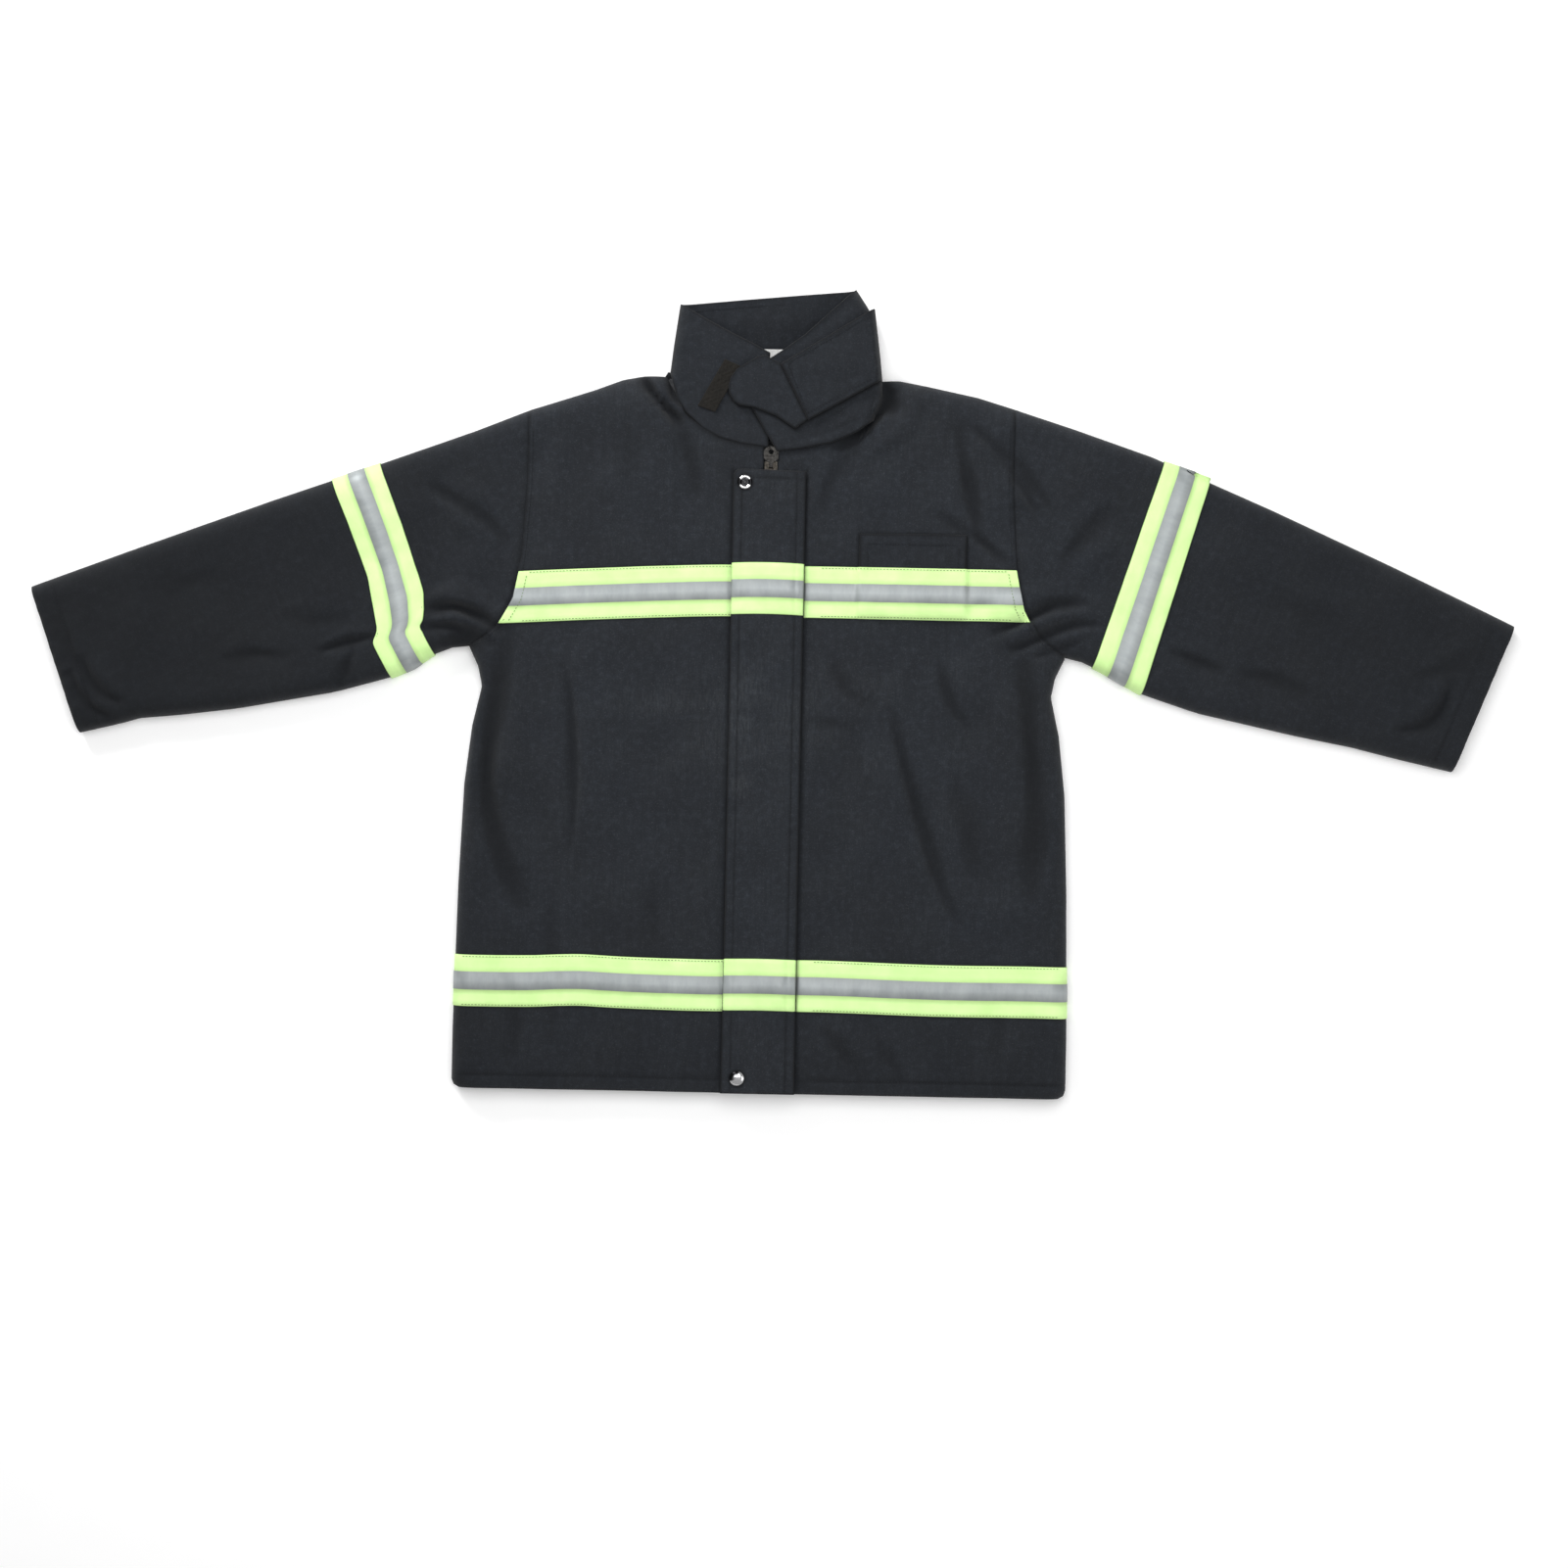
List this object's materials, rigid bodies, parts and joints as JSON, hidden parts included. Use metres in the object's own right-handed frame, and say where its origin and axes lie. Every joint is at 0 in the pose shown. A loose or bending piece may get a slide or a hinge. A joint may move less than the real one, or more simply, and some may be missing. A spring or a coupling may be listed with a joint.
{
  "type": "turnout coat",
  "caption": "Hip-length firefighter's coat with zip, storm flap, snaps, collar flap, throat tab, reflective trim, chest pocket and long sleeves, laid out flat.",
  "frame": {"origin": "under the middle of the coat's outline, on the surface it lies on", "axes": "+Z out of the chest, +Y from the hem to the collar, +X to the wearer's left"},
  "size_m": [1.514, 0.824, 0.037],
  "materials": {
    "outer_shell": "dark navy-charcoal ripstop weave, matte",
    "thermal_liner": "quilted dark grey",
    "moisture_barrier": "pale film-faced cloth",
    "reflective_trim": "fluorescent lime with a silver reflective middle stripe",
    "snap_metal": "polished",
    "zip_metal": "aged dark brass",
    "zip_tape": "black herringbone tape",
    "hook_and_loop": "brown-black hook and loop",
    "label": "plain white woven label",
    "webbing": "black webbing"
  },
  "bodies": {
    "root": {"back_shell": "outer_shell", "back_tapes": "reflective_trim", "back_barrier": "moisture_barrier", "back_liner": "thermal_liner", "back_collar": "outer_shell", "neck_label": "label", "hanger_loop": "webbing", "right_front_side": "outer_shell", "left_front_side": "outer_shell", "right_liner_side": "thermal_liner", "left_liner_side": "thermal_liner", "front_barriers": "moisture_barrier", "right_side_tapes": "reflective_trim", "left_side_tapes": "reflective_trim", "chest_pocket": "outer_shell", "throat_cover_end": "outer_shell"},
    "right_front": {"right_front_edge": "outer_shell", "right_liner_edge": "thermal_liner", "right_collar": "outer_shell", "collar_loop_patch": "hook_and_loop", "right_zip_tape": "zip_tape", "right_zip_teeth": "zip_metal", "snap_studs": "snap_metal", "snap_eyelets": "snap_metal", "right_edge_tapes": "reflective_trim", "front_loop_strip": "hook_and_loop"},
    "left_front": {"left_front_edge": "outer_shell", "left_liner_edge": "thermal_liner", "left_collar": "outer_shell", "left_collar_stand": "outer_shell", "left_zip_tape": "zip_tape", "left_zip_teeth": "zip_metal", "zip_retainer_box": "zip_metal", "left_edge_tapes": "reflective_trim", "throat_tab_base": "outer_shell", "throat_cover": "outer_shell"},
    "storm_flap": {"storm_flap": "outer_shell", "flap_tapes": "reflective_trim", "snap_caps": "snap_metal", "snap_sockets": "snap_metal", "flap_hook_strip": "hook_and_loop"},
    "zip_slider": {"zip_slider": "zip_metal"},
    "zip_pull": {"zip_pull": "zip_metal"},
    "throat_tab": {"throat_tab": "outer_shell", "throat_tab_hook": "hook_and_loop"},
    "right_upper_sleeve": {"right_upper_sleeve_top": "outer_shell", "right_upper_sleeve_under": "outer_shell", "right_upper_sleeve_liner": "thermal_liner", "right_sleeve_band": "reflective_trim"},
    "right_forearm": {"right_fore_sleeve_top": "outer_shell", "right_fore_sleeve_under": "outer_shell", "right_fore_sleeve_liner": "thermal_liner"},
    "left_upper_sleeve": {"left_upper_sleeve_top": "outer_shell", "left_upper_sleeve_under": "outer_shell", "left_upper_sleeve_liner": "thermal_liner", "left_sleeve_band": "reflective_trim"},
    "left_forearm": {"left_fore_sleeve_top": "outer_shell", "left_fore_sleeve_under": "outer_shell", "left_fore_sleeve_liner": "thermal_liner"}
  },
  "joints": [
    {"name": "left_front_open", "type": "hinge", "parent": "root", "child": "left_front", "pos_m": [0.09, -0.062, 0.0375], "axis": [0, 1, 0], "range_deg": [0, 175]},
    {"name": "right_front_open", "type": "hinge", "parent": "root", "child": "right_front", "pos_m": [-0.09, -0.062, 0.0375], "axis": [0, 1, 0], "range_deg": [-175, 0]},
    {"name": "storm_flap_open", "type": "hinge", "parent": "left_front", "child": "storm_flap", "pos_m": [0.0363, -0.092, 0.0293], "axis": [0, -1, 0], "range_deg": [-170, 0]},
    {"name": "zip_slide", "type": "slide", "parent": "left_front", "child": "zip_slider", "axis": [0, 1, 0], "range_m": [-0.61, 0]},
    {"name": "zip_pull_swing", "type": "hinge", "parent": "zip_slider", "child": "zip_pull", "pos_m": [0, 0.2285, 0.0282], "axis": [1, 0, 0], "range_deg": [0, 100]},
    {"name": "throat_tab_open", "type": "hinge", "parent": "left_front", "child": "throat_tab", "pos_m": [0.0225, 0.3045, 0.0374], "axis": [0.4535, -0.8913, 0], "range_deg": [-165, 0]},
    {"name": "left_sleeve_fold", "type": "hinge", "parent": "root", "child": "left_upper_sleeve", "pos_m": [0.277, 0.1595, 0.03], "axis": [-0.2358, 0.9718, 0], "range_deg": [-150, 0]},
    {"name": "right_sleeve_fold", "type": "hinge", "parent": "root", "child": "right_upper_sleeve", "pos_m": [-0.277, 0.1595, 0.03], "axis": [0.2358, 0.9718, 0], "range_deg": [0, 150]},
    {"name": "left_elbow_fold", "type": "hinge", "parent": "left_upper_sleeve", "child": "left_forearm", "pos_m": [0.4995, 0.082, 0.03], "axis": [-0.3024, -0.9532, 0], "range_deg": [0, 150]},
    {"name": "right_elbow_fold", "type": "hinge", "parent": "right_upper_sleeve", "child": "right_forearm", "pos_m": [-0.4995, 0.082, 0.03], "axis": [0.3024, -0.9532, 0], "range_deg": [-150, 0]}
  ],
  "couplings": [
    {"joint": "right_front_open", "follows": "left_front_open", "ratio": -1}
  ]
}
